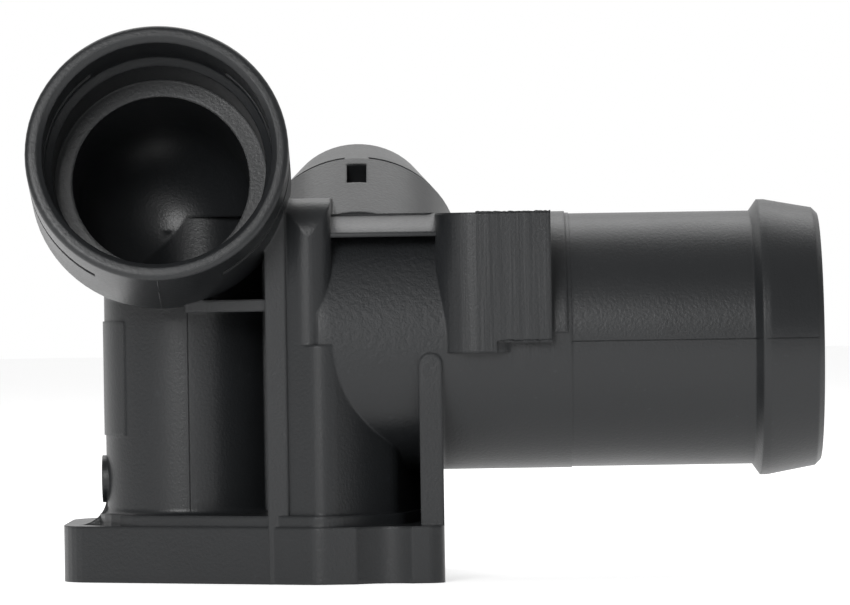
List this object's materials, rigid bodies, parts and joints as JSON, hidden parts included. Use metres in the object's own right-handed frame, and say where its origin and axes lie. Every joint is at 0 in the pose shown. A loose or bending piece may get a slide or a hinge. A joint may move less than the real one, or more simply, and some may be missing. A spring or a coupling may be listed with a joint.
{
  "type": "coolant flange",
  "caption": "Moulded plastic coolant flange: bolted base plate, hose neck with bead, clip-in sensor port in front and a tapered port behind.",
  "frame": {"origin": "midway between the two bolt holes, on the sealing face", "axes": "+Z away from the engine, normal to the sealing face; +X along the hose neck towards its open end; -Y towards the front port's mouth"},
  "size_m": [0.0987, 0.0611, 0.0696],
  "materials": {
    "moulded_nylon": "satin",
    "zinc_steel": "satin"
  },
  "bodies": {
    "root": {"flange_housing": "moulded_nylon", "bolt_sleeves": "zinc_steel"}
  },
  "joints": []
}
